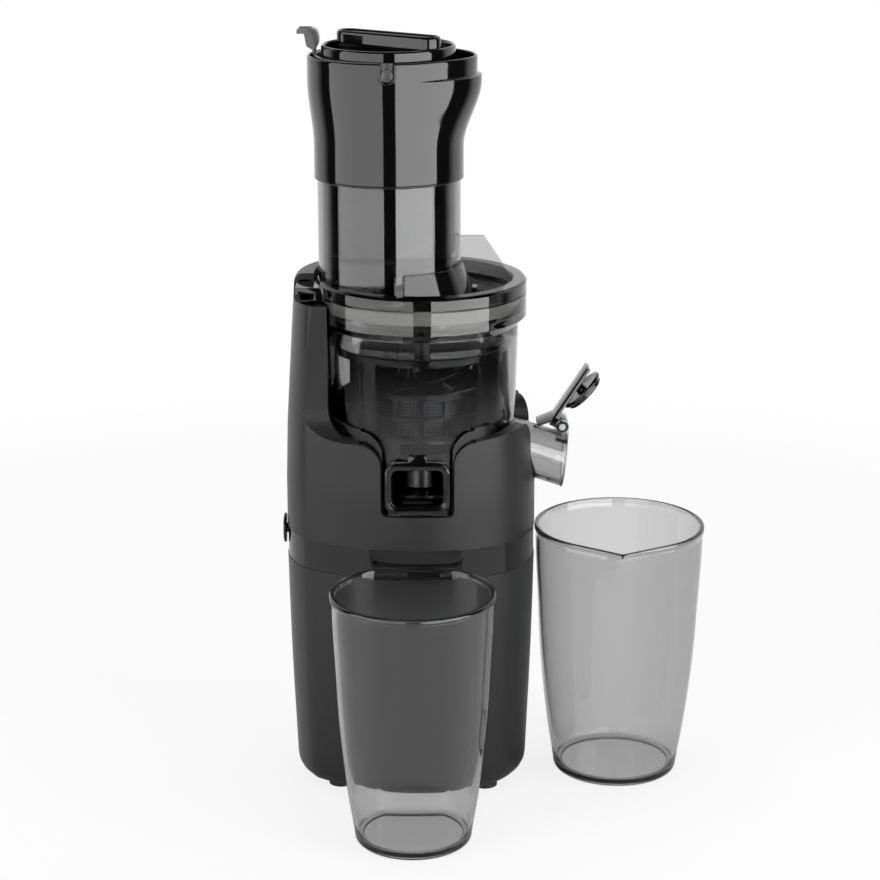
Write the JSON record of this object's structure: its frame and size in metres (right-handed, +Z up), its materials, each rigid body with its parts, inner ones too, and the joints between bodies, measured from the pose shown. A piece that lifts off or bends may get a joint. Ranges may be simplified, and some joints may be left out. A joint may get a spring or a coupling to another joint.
{
  "type": "cold press juicer",
  "caption": "Vertical cold press juicer with a lift-off bowl, auger and strainer, hopper with pusher, side spout with swing cap, pulp cup and juice jug.",
  "frame": {"origin": "on the drive axis, at the level of the bench under the feet", "axes": "+Z up, +X towards the juice spout and the jug, -Y towards the pulp outlet and the pulp cup"},
  "size_m": [0.263, 0.2165, 0.4714],
  "materials": {
    "matte_housing": "fine matte texture",
    "gloss_black": "high gloss",
    "dark_gate": "satin gloss",
    "smoky_clear": "clear, smoke tinted plastic",
    "cup_clear": "clear, light smoke tinted plastic",
    "black_rubber": "matte",
    "pale_silicone": "matte",
    "bright_steel": "brushed",
    "motor_iron": "laminated",
    "zinc_case": "die cast",
    "copper_wire": "enamelled wire",
    "bronze": "sintered bronze",
    "white_nylon": "matte",
    "green_board": "printed board"
  },
  "bodies": {
    "base": {"lower_housing": "matte_housing", "base_cover": "matte_housing", "rubber_feet": "black_rubber", "base_screws": "bright_steel", "trim_band": "gloss_black", "upper_housing": "matte_housing", "bowl_seat": "gloss_black", "cord_gland": "black_rubber", "rotary_switch": "white_nylon", "control_board": "green_board", "motor_can": "zinc_case", "motor_stator": "motor_iron", "motor_windings": "copper_wire", "motor_bearings": "bright_steel", "gearbox_plate": "zinc_case", "gearbox_case": "zinc_case", "gearbox_screws": "bright_steel", "layshaft_pin": "bright_steel", "shaft_bushes": "bronze", "shaft_seal": "black_rubber"},
    "knob": {"control_knob": "gloss_black"},
    "drive": {"drive_shaft": "bright_steel", "output_gear": "white_nylon"},
    "layshaft": {"layshaft_gear": "white_nylon"},
    "rotor": {"rotor_core": "motor_iron", "motor_shaft": "bright_steel", "cooling_fan": "white_nylon"},
    "bowl": {"juicing_bowl": "smoky_clear", "pulp_outlet": "gloss_black", "pulp_plug": "black_rubber", "cap_hinge_pin": "bright_steel", "strainer_cage": "gloss_black", "strainer_sleeve": "bright_steel"},
    "spout_cap": {"cap_lever": "gloss_black", "cap_plug": "black_rubber"},
    "wiper": {"wiper_frame": "gloss_black", "wiper_blades": "black_rubber"},
    "screw": {"auger": "gloss_black"},
    "seal": {"lid_seal": "pale_silicone"},
    "lid_unit": {"lid": "smoky_clear", "auger_guide": "gloss_black", "lid_catch": "gloss_black", "hopper_collar": "gloss_black"},
    "gate": {"feed_gate": "dark_gate"},
    "pusher": {"pusher_cup": "gloss_black", "pusher_handle": "gloss_black"},
    "cup": {"pulp_cup": "cup_clear"},
    "jug": {"juice_jug": "cup_clear"}
  },
  "joints": [
    {"name": "knob_turn", "type": "hinge", "parent": "base", "child": "knob", "pos_m": [-0.0835, 0, 0.1615], "axis": [1, 0, 0], "range_deg": [-90, 90]},
    {"name": "drive_spin", "type": "hinge", "parent": "base", "child": "drive", "pos_m": [0, 0, 0], "axis": [0, 0, 1], "continuous": true},
    {"name": "layshaft_spin", "type": "hinge", "parent": "base", "child": "layshaft", "pos_m": [-0.034, 0, 0], "axis": [0, 0, 1], "continuous": true},
    {"name": "rotor_spin", "type": "hinge", "parent": "base", "child": "rotor", "pos_m": [0, 0, 0], "axis": [0, 0, 1], "continuous": true},
    {"name": "bowl_lift", "type": "slide", "parent": "base", "child": "bowl", "axis": [0, 0, 1], "range_m": [0, 0.15]},
    {"name": "cap_swing", "type": "hinge", "parent": "bowl", "child": "spout_cap", "pos_m": [0.0865, 0, 0.2295], "axis": [0, 1, 0], "range_deg": [0, 142]},
    {"name": "wiper_spin", "type": "hinge", "parent": "bowl", "child": "wiper", "pos_m": [0, 0, 0], "axis": [0, 0, 1], "continuous": true},
    {"name": "screw_spin", "type": "hinge", "parent": "bowl", "child": "screw", "pos_m": [0, 0, 0], "axis": [0, 0, 1], "continuous": true},
    {"name": "lid_turn", "type": "hinge", "parent": "bowl", "child": "seal", "pos_m": [0, 0, 0], "axis": [0, 0, 1], "range_deg": [0, 30]},
    {"name": "lid_lift", "type": "slide", "parent": "seal", "child": "lid_unit", "axis": [0, 0, 1], "range_m": [0, 0.09]},
    {"name": "gate_swing", "type": "hinge", "parent": "lid_unit", "child": "gate", "pos_m": [-0.019, 0, 0.449], "axis": [0, 1, 0], "range_deg": [0, 80]},
    {"name": "pusher_lift", "type": "slide", "parent": "lid_unit", "child": "pusher", "axis": [0, 0, 1], "range_m": [0, 0.185]},
    {"name": "cup_away", "type": "slide", "parent": "base", "child": "cup", "axis": [0, -1, 0], "range_m": [0, 0.12]},
    {"name": "jug_away", "type": "slide", "parent": "base", "child": "jug", "axis": [1, 0, 0], "range_m": [0, 0.12]}
  ],
  "couplings": [
    {"joint": "layshaft_spin", "follows": "drive_spin", "ratio": -3.3333},
    {"joint": "rotor_spin", "follows": "drive_spin", "ratio": 12.857},
    {"joint": "screw_spin", "follows": "drive_spin", "ratio": 1},
    {"joint": "wiper_spin", "follows": "drive_spin", "ratio": 0.6}
  ]
}
